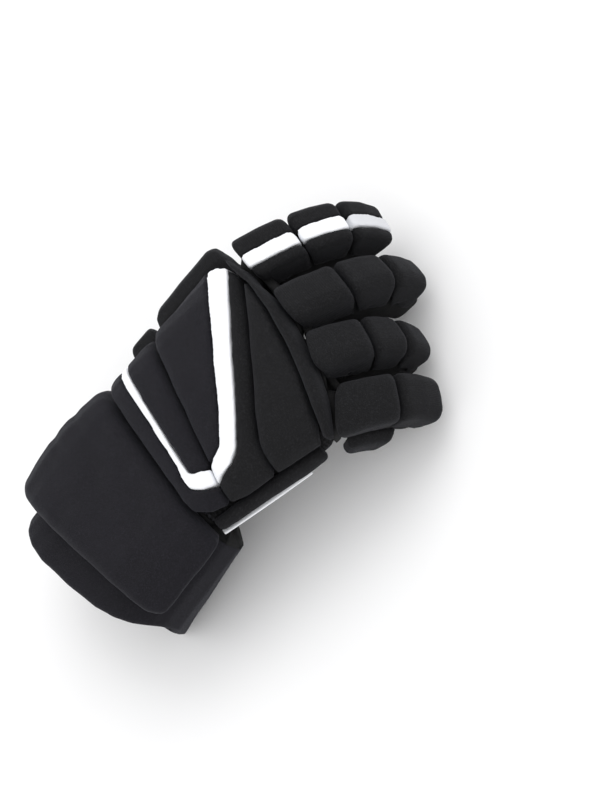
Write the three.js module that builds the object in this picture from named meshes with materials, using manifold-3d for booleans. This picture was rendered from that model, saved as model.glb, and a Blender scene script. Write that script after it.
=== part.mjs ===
// Ice hockey glove for the right hand, resting palm down on its cuff and its fingertips.
// Millimetres: +X towards the little finger, +Y towards the fingertips, +Z up.
import * as THREE from "three";
import { mergeVertices } from "three/addons/utils/BufferGeometryUtils.js";
import Module from "manifold-3d";

// Back of the hand.
const HAND_LENGTH = 108; // wrist seam to knuckles on the index side
const KNUCKLE_SLANT = 24; // how much shorter that is on the little finger's side
const WRIST_SEAM_Y = -12;
const WRIST_CROWN = 77; // height of the lining's crown over the floor at the wrist
const KNUCKLE_CROWN = 81; // and at the knuckles
const BACK_DOME_RADIUS = 320;
const WRIST_CENTRE_X = -5;
const WRIST_TILT = 4.5; // degrees that the back leans to the little finger's side
const KNUCKLE_TILT = 7.5;
const INDEX_SIDE = { wristFlat: 53, knuckleFlat: 56, corner: 14, wrap: 40 };
const LITTLE_SIDE = { wristFlat: 34, knuckleFlat: 42, corner: 16, wrap: 66 };
const INDEX_EDGE = -1.27; // where the lining ends, as a share of the back
const LITTLE_EDGE = 1.13;

// Foam, sheets and clearances.
const SEAT = 0.6; // gap between a pad and what it lies on
const PAD_GAP = 0.35; // half the gap between two pads side by side
const BACK_FOAM = 13;
const SEAM_FOAM = 6.5; // foam height left where a seam pulls the back down
const SEAM_REACH = 7; // how far from a seam the foam is pulled down
const LINING_WALL = 2.5;
const SIDE_FOAM = 8;
const PIPING_FOAM = 7;
const SIDE_ROLL_FOAM = 29;
const KNUCKLE_ROLL_FOAM = 15.5;

// Palm sheet.
const PALM_WALL = 2.5;
const PALM_WRIST_HEIGHT = 30;
const PALM_MIDDLE_HEIGHT = 41;

// Fingers. The stalls are leather tubes, the rolls foam that wraps their backs.
const FINGER_LENGTH = 125; // a share of this is each finger's, from the knuckles round to the tip
const FINGER_HALF_WIDTH = 17; // the index finger's, over its rolls
const STALL_HALF_WIDTH = 11.5;
const STALL_CORNER = 5;
const STALL_WALL = 2;
const STALL_DEPTH = 27; // at the base, from the back to the palm side
const STALL_TIP_SHARE = 0.78; // of that depth at the tip
const WIDTH_TIP_SHARE = 0.9;
const STALL_STEP = 17; // between its rings
const STALL_NOSE = 11; // length of the rounded fingertip
const STALL_GAP = 0.6; // from the stalls to the palm and the lining
const ROLL_SEAT = 0.6;
const ROLL_TOP = 12; // foam on the back of a finger
const ROLL_CORNER = 6;
const ROLL_SIDE_DROP = 11; // how far a roll reaches down the finger's side
const ROLL_CREASE = 0.5; // share of a roll's foam left at a crease
const ROLL_EDGE = 4; // radius of a roll's rounded ends
const ROLL_GAP = 0.4; // half the gap between two rolls
const STRIPE_GAP = 0.15; // between a roll and the stripe on it
const WEB_WALL = 2;
const WEB_SET = 3; // from the stalls' roots to the webs between them
const WEB_DROP = 3; // from the rolls' edges down to the webs
const FINGER_DOME = 70; // radius of the roll's crown across the finger
const INDEX_STRIPE_WIDTH = 11.5;
const INDEX_STRIPE_SHIFT = 5; // from the middle of the finger towards the little finger
const THUMB_STRIPE_WIDTH = 10;
const THUMB_HALF_WIDTH = 12.5;
const THUMB_ROLL_HALF_WIDTH = 15;
const GUSSET_FOAM = 8;

// Cuff.
const CUFF_FRONT_Y = -18.2;
const CUFF_REAR_Y = -106;
const CUFF_REAR_SLANT = 27; // how much further forward the rear edge is on the little finger's side
const CUFF_FRONT = { x: -14, z: 48, halfWidth: 55, up: 22, down: 18 };
const CUFF_REAR = { x: -12.5, z: 40, halfWidth: 55.5, up: 25, down: 33 };
const CUFF_SQUARENESS = 3.2;
const CUFF_PALM_NARROWING = 0.3;
const CUFF_TILT = 4.5;
const INNER_CUFF_FOAM = 6;
const OUTER_CUFF_FOAM = 13;
const PALM_CUFF_FOAM = 8;
const INNER_CUFF_OVERHANG = 22; // how far the inner pad shows past the outer one
const OVERHANG_ROUNDING = 0.7; // share of it that is lost at the sides
const OUTER_CUFF_REACH = { index: 104, little: 60 }; // degrees from the crown
const INNER_CUFF_REACH = 128;
const CUFF_EDGE = 7; // radius of the outer pad's rounded edges
const INNER_CUFF_EDGE = 3;
const CUFF_START = 0.02; // where the inner and palm pads start, as a share of the cuff's length
const CUFF_EDGE_LOW = 0.35; // share of the foam left at the front and rear edges
const CUFF_SIDE_LOW = 0.5; // and at the side edges
const CUFF_RIM = 5; // degrees over which a pad's side edges are rounded
const CUFF_FACET = 15; // degrees
const CUFF_CORNER = 16; // radius of the outer pad's rear corners
const CUFF_REST = 0.8; // where the flat that the cuff rests on starts, as a share of the pad

const FABRIC = { color: 0x1c1c20, roughness: 0.85, metalness: 0 };
const LEATHER = { color: 0x17171a, roughness: 0.7, metalness: 0 };
const LINING = { color: 0x101013, roughness: 0.95, metalness: 0 };
const WHITE = { color: 0xf1f2f5, roughness: 0.5, metalness: 0 };

const wasm = await Module();
wasm.setup();

const glove = new THREE.Group();
glove.name = "glove";

const { lerp, clamp, degToRad } = THREE.MathUtils;

function addPart(name, geometry, look) {
  const mesh = new THREE.Mesh(geometry, new THREE.MeshStandardMaterial(look));
  mesh.name = name;
  glove.add(mesh);
  return mesh;
}

// Turns points and quads into a closed geometry that faces outwards.
function closedGeometry(points, quads) {
  const triangles = [];
  for (const [a, b, c, d] of quads) {
    triangles.push([a, b, c]);
    if (d !== undefined) triangles.push([a, c, d]);
  }
  let volume = 0;
  for (const [a, b, c] of triangles) {
    volume += points[a].dot(new THREE.Vector3().crossVectors(points[b], points[c]));
  }
  const index = triangles.flatMap(([a, b, c]) => (volume < 0 ? [a, c, b] : [a, b, c]));
  const geometry = new THREE.BufferGeometry().setFromPoints(points);
  geometry.setIndex(index);
  geometry.computeVertexNormals();
  return geometry;
}

// A closed cushion on a grid. place(a, b, side) gives a point of the back (side 0) or front (side 1).
function cushion(acrossLines, alongLines, place) {
  const columns = acrossLines.length;
  const rows = alongLines.length;
  const points = [];
  for (const side of [0, 1]) {
    for (const b of alongLines) {
      for (const a of acrossLines) points.push(place(a, b, side));
    }
  }
  const at = (i, j, side) => side * columns * rows + j * columns + i;
  const last = columns - 1;
  const quads = [];
  for (let j = 0; j + 1 < rows; j++) {
    for (let i = 0; i + 1 < columns; i++) {
      quads.push([at(i, j, 1), at(i + 1, j, 1), at(i + 1, j + 1, 1), at(i, j + 1, 1)]);
      quads.push([at(i, j, 0), at(i, j + 1, 0), at(i + 1, j + 1, 0), at(i + 1, j, 0)]);
    }
  }
  for (let i = 0; i + 1 < columns; i++) {
    quads.push([at(i, 0, 0), at(i + 1, 0, 0), at(i + 1, 0, 1), at(i, 0, 1)]);
    quads.push([at(i + 1, rows - 1, 0), at(i, rows - 1, 0), at(i, rows - 1, 1), at(i + 1, rows - 1, 1)]);
  }
  for (let j = 0; j + 1 < rows; j++) {
    quads.push([at(0, j + 1, 0), at(0, j, 0), at(0, j, 1), at(0, j + 1, 1)]);
    quads.push([at(last, j, 0), at(last, j + 1, 0), at(last, j + 1, 1), at(last, j, 1)]);
  }
  return closedGeometry(points, quads);
}

// The quarter-round rise from low at the edge of a pad to 1 at a distance of reach.
function roundedRise(distance, reach, low) {
  const short = 1 - clamp(distance / reach, 0, 1);
  return low + (1 - low) * Math.sqrt(1 - short * short);
}

// A point u along a section from its crown: a slight dome, a round corner and a straight side.
function section(u, flat, corner, dome) {
  const side = u < 0 ? -1 : 1;
  const far = Math.abs(u);
  let angle = Math.min(far, flat) / dome;
  let x = dome * Math.sin(angle);
  let z = dome * (Math.cos(angle) - 1);
  if (far > flat) {
    const turned = Math.min((far - flat) / corner, Math.PI / 2 - angle);
    x += corner * (Math.sin(angle + turned) - Math.sin(angle));
    z -= corner * (Math.cos(angle) - Math.cos(angle + turned));
    angle += turned;
    z -= far - flat - turned * corner;
  }
  return { x: side * x, z, nx: side * Math.sin(angle), nz: Math.cos(angle) };
}

// The back of the hand. a runs from -1 on the index side to 1 on the little finger's side,
// t from 0 at the wrist seam to 1 at the knuckles, and h is the height over the lining.
function backReach(a, t) {
  const side = a < 0 ? INDEX_SIDE : LITTLE_SIDE;
  const flat = lerp(side.wristFlat, side.knuckleFlat, t);
  return { flat, corner: side.corner, reach: flat + side.corner * degToRad(side.wrap) };
}

function backLength(a) {
  return HAND_LENGTH - (KNUCKLE_SLANT * (a + 1)) / 2;
}

function backPoint(a, t, h) {
  const { flat, corner, reach } = backReach(a, t);
  const p = section(a * reach, flat, corner, BACK_DOME_RADIUS);
  const tilt = degToRad(lerp(WRIST_TILT, KNUCKLE_TILT, t));
  const x = p.x + p.nx * h;
  const z = p.z + p.nz * h;
  return new THREE.Vector3(
    lerp(WRIST_CENTRE_X, 0, t) + x * Math.cos(tilt) + z * Math.sin(tilt),
    WRIST_SEAM_Y + t * backLength(a),
    lerp(WRIST_CROWN, KNUCKLE_CROWN, t) + z * Math.cos(tilt) - x * Math.sin(tilt),
  );
}

// The same place on a flat plan, for measuring distances.
function backPlan(a, t) {
  return new THREE.Vector2(a * backReach(a, t).reach, t * backLength(a));
}

// Seams that pull the foam of the back down, as shares a and t.
const SEAMS = {
  cuff: [[-1.5, -0.05], [0.3, -0.06], [0.55, -0.08], [0.7, -0.07], [0.8, 0.04], [0.84, 0.16]],
  diagonal: [[-1.5, 0.345], [-1, 0.345], [-0.2, 0.29], [0.45, 0.222], [0.66, 0.19], [0.84, 0.16]],
  triangle: [[-0.75, 1.02], [-0.42, 0.94], [0, 0.798], [0.34, 0.672], [0.61, 0.582], [0.86, 0.535]],
  side: [[0.84, 0.16], [0.87, 0.3], [0.88, 0.53], [0.9, 0.7], [0.93, 0.92]],
  fold: [[-1.08, 0.1], [-1.08, 0.95]],
};

function seamDistance(a, t) {
  const here = backPlan(a, t);
  let nearest = Infinity;
  for (const seam of Object.values(SEAMS)) {
    for (let i = 0; i + 1 < seam.length; i++) {
      const from = backPlan(...seam[i]);
      const along = backPlan(...seam[i + 1]).sub(from);
      const share = clamp(here.clone().sub(from).dot(along) / along.lengthSq(), 0, 1);
      nearest = Math.min(nearest, here.distanceTo(from.addScaledVector(along, share)));
    }
  }
  return nearest;
}

function backFoam(a, t) {
  return BACK_FOAM * roundedRise(seamDistance(a, t), SEAM_REACH, SEAM_FOAM / BACK_FOAM);
}

// Interpolates the rows of a table at b from -1 to 1.
function rowAt(rows, b) {
  const place = ((b + 1) / 2) * (rows.length - 1);
  const i = Math.min(Math.floor(place), rows.length - 2);
  return rows[i].map((value, k) => lerp(value, rows[i + 1][k], place - i));
}

// The pads of the back lie between two edges. Each row holds a, t of one edge and a, t of the other.
const BACK_PADS = {
  wrist_band: {
    look: FABRIC,
    across: 3,
    rows: [
      [-1.25, -0.04, -1.25, 0.07],
      [-1, -0.04, -1, 0.075],
      [-0.4, -0.04, -0.43, 0.075],
      [0.32, -0.05, 0.2, 0.055],
      [0.55, -0.065, 0.4, 0.03],
      [0.7, -0.055, 0.53, 0.04],
      [0.785, 0.04, 0.62, 0.1],
      [0.82, 0.155, 0.66, 0.185],
    ],
  },
  thin_stripe: {
    look: WHITE,
    across: 2,
    rows: [
      [-1.25, 0.07, -1.25, 0.125],
      [-1, 0.075, -1, 0.13],
      [-0.43, 0.075, -0.4, 0.12],
      [0.2, 0.055, 0.22, 0.098],
      [0.4, 0.03, 0.36, 0.095],
      [0.53, 0.04, 0.41, 0.12],
      [0.62, 0.1, 0.44, 0.17],
      [0.66, 0.185, 0.47, 0.212],
    ],
  },
  wrist_pad: {
    look: FABRIC,
    across: 4,
    rows: [
      [-1.06, 0.13, -1.06, 0.34],
      [-0.4, 0.12, -0.3, 0.293],
      [0.22, 0.098, 0.16, 0.252],
      [0.36, 0.095, 0.33, 0.233],
      [0.41, 0.12, 0.4, 0.226],
      [0.45, 0.18, 0.43, 0.222],
    ],
  },
  centre_pad: {
    look: FABRIC,
    across: 5,
    rows: [
      [-1.06, 0.352, -1, 0.84],
      [-0.73, 0.335, -0.62, 0.73],
      [-0.2, 0.293, -0.14, 0.57],
      [0.16, 0.255, 0.2, 0.44],
      [0.36, 0.237, 0.385, 0.36],
      [0.43, 0.23, 0.42, 0.29],
    ],
  },
  wide_stripe: {
    look: WHITE,
    across: 2,
    rows: [
      [-0.995, 0.842, -0.87, 0.975],
      [-0.62, 0.73, -0.45, 0.835],
      [-0.14, 0.57, 0, 0.665],
      [0.2, 0.44, 0.32, 0.54],
      [0.385, 0.36, 0.53, 0.445],
      [0.42, 0.29, 0.61, 0.36],
      [0.45, 0.24, 0.64, 0.26],
      [0.47, 0.222, 0.66, 0.195],
    ],
  },
  border_pad: {
    look: FABRIC,
    across: 4,
    rows: [
      [-0.87, 0.975, -0.7, 1.0],
      [-0.45, 0.835, -0.42, 0.935],
      [0, 0.665, 0, 0.793],
      [0.32, 0.54, 0.34, 0.667],
      [0.53, 0.445, 0.61, 0.577],
      [0.61, 0.36, 0.87, 0.528],
      [0.64, 0.26, 0.86, 0.3],
      [0.66, 0.195, 0.82, 0.17],
    ],
  },
  knuckle_panel: {
    look: FABRIC,
    across: 5,
    rows: [
      [-0.66, 1.018, -0.6, 1.035],
      [-0.42, 0.947, -0.3, 1.06],
      [0, 0.804, 0.07, 1.06],
      [0.34, 0.678, 0.43, 1.045],
      [0.61, 0.588, 0.66, 1.012],
      [0.72, 0.56, 0.8, 0.965],
      [0.87, 0.542, 0.91, 0.9],
    ],
  },
};

function rowMiddle([a0, t0, a1, t1]) {
  return backPlan((a0 + a1) / 2, (t0 + t1) / 2);
}

function tableLength(rows) {
  let length = 0;
  for (let i = 0; i + 1 < rows.length; i++) length += rowMiddle(rows[i]).distanceTo(rowMiddle(rows[i + 1]));
  return length;
}

// Grid lines along a table, close together where the back turns its corners.
const FLAT_STEP = 24;
const CORNER_STEP = 5;
const CORNER_STARTS = 0.6;

function tableLines(rows) {
  const lines = [];
  for (let i = 0; i + 1 < rows.length; i++) {
    const [from, to] = [rows[i], rows[i + 1]];
    const far = Math.max(...[from[0], from[2], to[0], to[2]].map(Math.abs));
    const turn = Math.abs(rowMiddle(to).x - rowMiddle(from).x);
    const apart = rowMiddle(from).distanceTo(rowMiddle(to));
    const turns = far > CORNER_STARTS ? Math.ceil(turn / CORNER_STEP) : 1;
    const steps = Math.max(1, Math.ceil(apart / FLAT_STEP), turns);
    for (let k = 0; k < steps; k++) lines.push(-1 + (2 * (i + k / steps)) / (rows.length - 1));
  }
  return [...lines, 1];
}

// A pad of the back from its table, with the gap to its neighbours taken off its edges.
function backPad(name, { look, rows, across }) {
  const length = tableLength(rows);
  const place = (a, b, side) => {
    const [a0, t0, a1, t1] = rowAt(rows, b * (1 - (2 * PAD_GAP) / length));
    const width = backPlan(a0, t0).distanceTo(backPlan(a1, t1));
    const share = (a * (1 - (2 * PAD_GAP) / Math.max(width, 3 * PAD_GAP)) + 1) / 2;
    const pa = lerp(a0, a1, share);
    const pt = lerp(t0, t1, share);
    return backPoint(pa, pt, side ? SEAT + backFoam(pa, pt) : SEAT);
  };
  const inner = [];
  for (let i = 1; i < across - 1; i++) inner.push(lerp(-0.7, 0.7, i / (across - 1)));
  const acrossLines = across > 2 ? [-1, -0.88, -0.7, ...inner, 0.7, 0.88, 1] : [-1, 0, 1];
  addPart(name, cushion(acrossLines, tableLines(rows), place), look);
}

for (const [name, pad] of Object.entries(BACK_PADS)) backPad(name, pad);

// The knuckle roll, from the index side round to the little finger's side.
const KNUCKLE_ROLL = [
  [-0.96, 0.96, -0.9, 1.0],
  [-0.78, 0.995, -0.74, 1.052],
  [-0.6, 1.041, -0.55, 1.08],
  [-0.3, 1.073, -0.3, 1.143],
  [0.07, 1.073, 0.07, 1.163],
  [0.43, 1.058, 0.45, 1.157],
  [0.67, 1.025, 0.71, 1.125],
  [0.8, 0.98, 0.86, 1.055],
  [0.87, 0.935, 0.945, 0.98],
];

// Rolls along the edge on the index side, and what covers the little finger's side. low and edge
// are the height and the reach of the rounded edges as shares of the foam, and tip is how many
// times longer that reach is at the ends.
const ROLL_LINES = [-1, -0.75, -0.4, 0, 0.4, 0.75, 1];
const SIDE_PIECES = {
  side_roll_short: {
    look: FABRIC, foam: SIDE_ROLL_FOAM * 0.92, low: 0.5, edge: 0.25, tip: 1, across: ROLL_LINES,
    rows: [[-1.09, 0.14, -1.25, 0.14], [-1.09, 0.35, -1.25, 0.35]],
  },
  side_roll_long: {
    look: FABRIC, foam: SIDE_ROLL_FOAM, low: 0.5, edge: 0.25, tip: 1, across: ROLL_LINES,
    rows: [[-1.09, 0.365, -1.25, 0.365], [-1.09, 0.93, -1.25, 0.93]],
  },
  side_panel: {
    look: FABRIC, foam: SIDE_FOAM, low: 0.6, edge: 0.5, tip: 1, across: ROLL_LINES,
    rows: [
      [0.83, -0.02, 0.96, -0.045],
      [0.845, 0.15, 0.99, 0.15],
      [0.89, 0.51, 1.04, 0.5],
      [0.915, 0.7, 1.07, 0.7],
      [0.94, 0.87, 1.08, 0.87],
    ],
  },
  side_piping: {
    look: WHITE, foam: PIPING_FOAM, low: 0.9, edge: 0.15, tip: 1, across: [-1, 1],
    rows: [
      [0.966, -0.045, 1.005, -0.045],
      [0.996, 0.15, 1.035, 0.15],
      [1.046, 0.5, 1.085, 0.5],
      [1.076, 0.7, 1.115, 0.7],
    ],
  },
  knuckle_roll: {
    look: FABRIC, foam: KNUCKLE_ROLL_FOAM, low: 0.65, edge: 0.24, tip: 2, across: ROLL_LINES,
    rows: KNUCKLE_ROLL,
  },
};

function edgePiece(name, { look, rows, foam, low, edge, tip, across }) {
  const length = tableLength(rows);
  const reach = edge * foam;
  const rounded = Math.min((2 * reach * tip) / length, 0.3);
  const alongLines = tableLines(rows).map((b) => b * (1 - rounded));
  alongLines.unshift(-1, -1 + 0.35 * rounded);
  alongLines.push(1 - 0.35 * rounded, 1);
  const place = (a, b, side) => {
    const [a0, t0, a1, t1] = rowAt(rows, b * (1 - (2 * PAD_GAP) / length));
    const width = backPlan(a0, t0).distanceTo(backPlan(a1, t1));
    const share = (a * (1 - (2 * PAD_GAP) / width) + 1) / 2;
    const rise = roundedRise(((1 - Math.abs(a)) * width) / 2, reach, low)
      * roundedRise(((1 - Math.abs(b)) * length) / 2, reach * tip, low);
    return backPoint(lerp(a0, a1, share), lerp(t0, t1, share), side ? SEAT + foam * rise : SEAT);
  };
  addPart(name, cushion(across, alongLines, place), look);
}

for (const [name, piece] of Object.entries(SIDE_PIECES)) edgePiece(name, piece);

// The lining carries the back's pads and ends under the knuckle roll's front edge.
function knuckleFront(a) {
  const rows = KNUCKLE_ROLL;
  for (let i = 0; i + 1 < rows.length; i++) {
    const [from, to] = [rows[i][2], rows[i + 1][2]];
    if (a <= to || i + 2 === rows.length) {
      return lerp(rows[i][3], rows[i + 1][3], clamp((a - from) / (to - from), 0, 1));
    }
  }
}

const LINING_BACK = 0.022; // how far behind that edge, as a share of the back
const liningLines = [
  INDEX_EDGE, -1.16, -1.08, -1, -0.92, -0.84, -0.6, -0.3, 0.07,
  0.43, 0.6, 0.68, 0.76, 0.84, 0.92, 1, 1.07, LITTLE_EDGE,
];
const lining = (a, b, side) => {
  const rear = CUFF_FRONT_Y + 1 - WRIST_SEAM_Y;
  const front = knuckleFront(a) - LINING_BACK;
  return backPoint(a, lerp(rear / backLength(a), front, b), side ? 0 : -LINING_WALL);
};
addPart("back_lining", cushion(liningLines, [0, 0.3, 0.6, 0.85, 1], lining), LINING);

// A U that wraps the back of a finger: k runs from -1 at one side's lower edge, over the back, to 1.
const WRAP_FLAT = 0.5;
const WRAP_ROUND = 0.8;

function wrapPoint(k, { halfWidth, corner, top, drop }) {
  const share = Math.abs(k);
  const turn = (clamp((share - WRAP_FLAT) / (WRAP_ROUND - WRAP_FLAT), 0, 1) * Math.PI) / 2;
  const below = clamp((share - WRAP_ROUND) / (1 - WRAP_ROUND), 0, 1);
  const flat = (halfWidth - corner) * Math.min(share / WRAP_FLAT, 1);
  const bottom = lerp(top + corner * (1 - Math.cos(turn)), drop, below);
  return new THREE.Vector2(Math.sign(k) * (flat + corner * Math.sin(turn)), bottom);
}

// Each finger starts on the back at shares a, t, raised by a share of a roll's foam. Pitch and lean
// are in degrees at the base and the tip, curl is the power by which the pitch grows, seam leans
// the stall's base back, and slant turns the creases. Length and width are shares of the middle
// finger's length and the index finger's width, and rolls are the creases as shares of the length.
const FINGERS = {
  index: {
    a: -0.855, t: 1.068, rise: 0.125, yaw: 5.5, pitch: [24, 100], curl: 1.9, lean: [-2, 0],
    seam: 5, slant: -7, length: 0.9, width: 1, rolls: [-0.02, 0.315, 0.62, 0.93],
  },
  middle: {
    a: -0.2, t: 1.185, rise: 0.208, yaw: -3.5, pitch: [38, 112], curl: 2.1, lean: [4, 2],
    seam: 15, slant: 3, length: 0.975, width: 0.835, rolls: [-0.03, 0.335, 0.615, 0.87],
  },
  ring: {
    a: 0.29, t: 1.2, rise: 0.167, yaw: -1, pitch: [46, 114], curl: 1.75, lean: [9, 6],
    seam: 25, slant: 14, length: 0.87, width: 0.824, rolls: [-0.03, 0.37, 0.63, 0.865],
  },
  little: {
    a: 0.8, t: 1.12, rise: 0, yaw: 7, pitch: [42, 95], curl: 1.5, lean: [27, 20],
    seam: 25, slant: 20, length: 0.704, width: 0.882, rolls: [-0.03, 0.5, 0.92],
  },
};
const PATH_STEPS = 100;

// The frame of a finger at s: its way, and the unleaned across and outward directions.
function fingerFrame(finger, s) {
  const share = clamp(s / (finger.length * FINGER_LENGTH), 0, 1);
  const pitch = degToRad(lerp(finger.pitch[0], finger.pitch[1], share ** finger.curl));
  const yaw = degToRad(finger.yaw);
  const level = Math.cos(pitch);
  const way = new THREE.Vector3(Math.sin(yaw) * level, Math.cos(yaw) * level, -Math.sin(pitch));
  const across = new THREE.Vector3(Math.cos(yaw), -Math.sin(yaw), 0);
  return { way, across, out: new THREE.Vector3().crossVectors(across, way), share };
}

function leaned({ across, out }, lean) {
  const angle = degToRad(lean);
  return {
    across: across.clone().multiplyScalar(Math.cos(angle)).addScaledVector(out, -Math.sin(angle)),
    out: out.clone().multiplyScalar(Math.cos(angle)).addScaledVector(across, Math.sin(angle)),
  };
}

// A limb turns s along a finger, an offset across it and a depth under its rolls into a point.
function fingerLimb(finger) {
  const centreDepth = ROLL_TOP + STALL_DEPTH / 2;
  const length = finger.length * FINGER_LENGTH;
  const base = backPoint(finger.a, finger.t, ROLL_TOP * (1 + finger.rise));
  const start = fingerFrame(finger, 0);
  const crown = base.addScaledVector(leaned(start, finger.lean[0]).out, -centreDepth)
    .addScaledVector(start.out, centreDepth);
  const path = [crown.clone()];
  const step = length / PATH_STEPS;
  for (let i = 0; i < PATH_STEPS; i++) {
    path.push(path[i].clone().addScaledVector(fingerFrame(finger, (i + 0.5) * step).way, step));
  }
  const upright = Math.tan(degToRad(finger.pitch[0]));
  const shear = Math.tan(degToRad(finger.pitch[0] - finger.seam));
  const slant = Math.tan(degToRad(finger.slant));
  const point = (s, across, depth) => {
    const fade = (1 - clamp(s / length, 0, 1)) ** 2;
    const under = Math.max(depth - ROLL_TOP, 0);
    const along = s + ((depth - under) * upright + under * shear - across * slant) * fade;
    const frame = fingerFrame(finger, along);
    const place = clamp(along / step, 0, PATH_STEPS);
    const i = Math.min(Math.floor(place), PATH_STEPS - 1);
    const over = along - place * step;
    const { across: sideways, out } = leaned(frame, lerp(...finger.lean, frame.share));
    return path[i].clone().lerp(path[i + 1], place - i)
      .addScaledVector(frame.way, over)
      .addScaledVector(frame.out, -centreDepth)
      .addScaledVector(sideways, across)
      .addScaledVector(out, centreDepth - depth);
  };
  return {
    point, length, start: finger.rolls[0] * length,
    halfWidth: finger.width * FINGER_HALF_WIDTH, stallHalfWidth: STALL_HALF_WIDTH,
  };
}

// The thumb leaves the palm's index side and curves forward below the index finger. Its way holds
// shares of the hand's width on the index side, its length and its height.
const THUMB = { rolls: [0.3, 0.64, 0.95], lean: [-15, -52] };
const THUMB_WAY = [
  [-0.714, 0.296, 0.494],
  [-0.943, 0.481, 0.37],
  [-1.043, 0.741, 0.284],
  [-1.029, 1, 0.216],
  [-0.886, 1.241, 0.148],
];

function thumbLimb() {
  const handWidth = INDEX_SIDE.knuckleFlat + INDEX_SIDE.corner;
  const points = THUMB_WAY.map(([x, y, z]) => (
    new THREE.Vector3(x * handWidth, WRIST_SEAM_Y + y * HAND_LENGTH, z * KNUCKLE_CROWN)
  ));
  const curve = new THREE.CatmullRomCurve3(points, false, "centripetal");
  const length = curve.getLength();
  const up = new THREE.Vector3(0, 0, 1);
  const centreDepth = ROLL_TOP + STALL_DEPTH / 2;
  const point = (s, across, depth) => {
    const share = clamp(s / length, 0, 1);
    const way = curve.getTangentAt(share);
    const sideways = new THREE.Vector3().crossVectors(way, up).normalize();
    const out = new THREE.Vector3().crossVectors(sideways, way);
    const frame = leaned({ across: sideways, out }, lerp(...THUMB.lean, Math.sqrt(share)));
    return curve.getPointAt(share)
      .addScaledVector(way, s - share * length)
      .addScaledVector(frame.across, across)
      .addScaledVector(frame.out, centreDepth - depth);
  };
  return { point, length, start: 0, halfWidth: THUMB_ROLL_HALF_WIDTH, stallHalfWidth: THUMB_HALF_WIDTH };
}

// Points round a stall at s, inset from its outside.
const STALL_TURNS = [0, 45, 90];

function stallRing(limb, s, inset) {
  const share = clamp(s / limb.length, 0, 1);
  const nose = STALL_NOSE - inset;
  const past = clamp((s - (limb.length - STALL_NOSE)) / nose, 0, 1);
  const shrink = Math.sqrt(1 - past * past);
  const halfWidth = limb.stallHalfWidth * lerp(1, WIDTH_TIP_SHARE, share) - inset;
  const halfDepth = (STALL_DEPTH * lerp(1, STALL_TIP_SHARE, share)) / 2 - inset;
  const middle = ROLL_TOP + inset + halfDepth;
  const corner = Math.max(STALL_CORNER - inset, 1);
  const ring = [];
  for (const [x, z] of [[1, -1], [1, 1], [-1, 1], [-1, -1]]) {
    const turns = x * z < 0 ? STALL_TURNS : [...STALL_TURNS].reverse();
    for (const turn of turns) {
      const angle = degToRad(turn);
      const across = x * (halfWidth - corner + corner * Math.sin(angle));
      const depth = z * (halfDepth - corner + corner * Math.cos(angle));
      ring.push(limb.point(s, across * shrink, middle + depth * shrink));
    }
  }
  return ring;
}

// A closed body from rings of equal counts, capped at both ends, or hollow where inner rings are
// given, and then with an open tip where asked.
function loftRings(outer, inner, openTip = false) {
  const count = outer[0].length;
  const points = [...outer.flat(), ...(inner ?? []).flat()];
  const last = outer.length - 1;
  const quads = [];
  const at = (ring, i, first) => first + ring * count + (i % count);
  const centreOf = (ring) => ring.reduce((sum, p) => sum.add(p), new THREE.Vector3()).divideScalar(count);
  const innerFirst = outer.length * count;
  const tip = openTip ? undefined : points.push(centreOf(outer.at(-1))) - 1;
  for (let i = 0; i < count; i++) {
    for (let j = 0; j < last; j++) {
      quads.push([at(j, i, 0), at(j, i + 1, 0), at(j + 1, i + 1, 0), at(j + 1, i, 0)]);
    }
    if (!openTip) quads.push([at(last, i, 0), at(last, i + 1, 0), tip]);
  }
  if (!inner) {
    const tail = points.push(centreOf(outer[0])) - 1;
    for (let i = 0; i < count; i++) quads.push([at(0, i + 1, 0), at(0, i, 0), tail]);
    return closedGeometry(points, quads);
  }
  const innerTip = openTip ? undefined : points.push(centreOf(inner.at(-1))) - 1;
  const inside = (ring, i) => at(ring, i, innerFirst);
  for (let i = 0; i < count; i++) {
    for (let j = 0; j < last; j++) {
      quads.push([inside(j, i), inside(j + 1, i), inside(j + 1, i + 1), inside(j, i + 1)]);
    }
    if (openTip) {
      quads.push([inside(last, i + 1), inside(last, i), at(last, i, 0), at(last, i + 1, 0)]);
    } else {
      quads.push([inside(last, i + 1), inside(last, i), innerTip]);
    }
    quads.push([at(0, i + 1, 0), at(0, i, 0), inside(0, i), inside(0, i + 1)]);
  }
  return closedGeometry(points, quads);
}

// A stall from s to the fingertip, or an open tube where it ends before.
function stall(name, limb, from = limb.start + ROLL_GAP, to = limb.length) {
  const openTip = to < limb.length;
  const straight = openTip ? to : limb.length - STALL_NOSE;
  const steps = Math.round((straight - from) / STALL_STEP);
  const outer = [];
  const inner = [];
  for (let i = 0; i <= steps; i++) {
    const s = lerp(from, straight, i / steps);
    outer.push(stallRing(limb, s, 0));
    inner.push(stallRing(limb, s, STALL_WALL));
  }
  for (const share of openTip ? [] : [0.5, 0.92]) {
    outer.push(stallRing(limb, straight + STALL_NOSE * share, 0));
    inner.push(stallRing(limb, straight + (STALL_NOSE - STALL_WALL) * share, STALL_WALL));
  }
  addPart(name, loftRings(outer, inner, openTip), LEATHER);
}

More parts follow.
